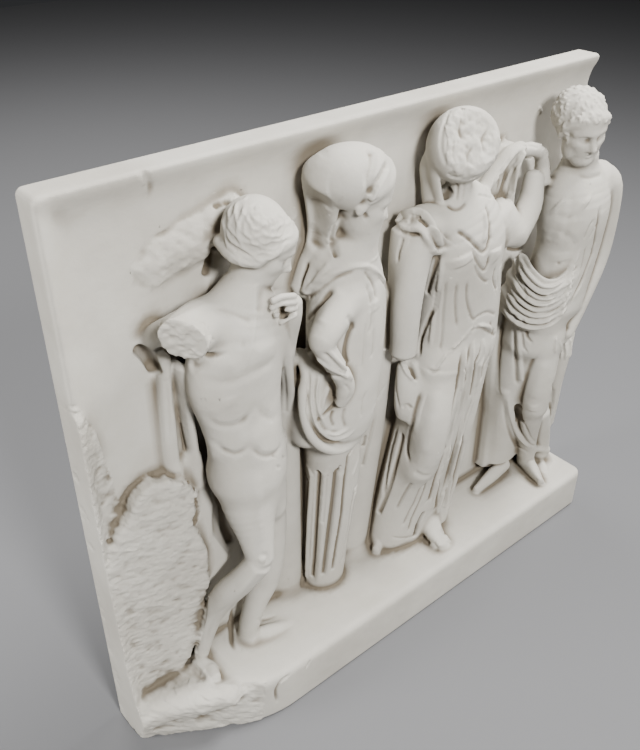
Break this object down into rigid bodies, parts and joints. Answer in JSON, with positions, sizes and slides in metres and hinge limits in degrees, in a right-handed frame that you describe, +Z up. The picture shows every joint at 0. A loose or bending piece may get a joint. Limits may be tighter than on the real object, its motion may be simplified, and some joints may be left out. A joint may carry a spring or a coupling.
{
  "type": "plaster wall relief",
  "caption": "Cast plaster relief of standing figures in draped clothes on a ledge, before a thin slab with a raised rim.",
  "frame": {"origin": "middle of the underside of the whole relief, on the surface it stands on", "axes": "+X to the viewer's right, +Y towards the flat back of the slab so the figures face -Y, +Z up"},
  "size_m": [1, 0.17, 0.9],
  "materials": {
    "plaster": "dry matt cast plaster, off-white with faint grey and warm patches and small casting pits"
  },
  "bodies": {
    "root": {"plaster_relief": "plaster"}
  },
  "joints": []
}
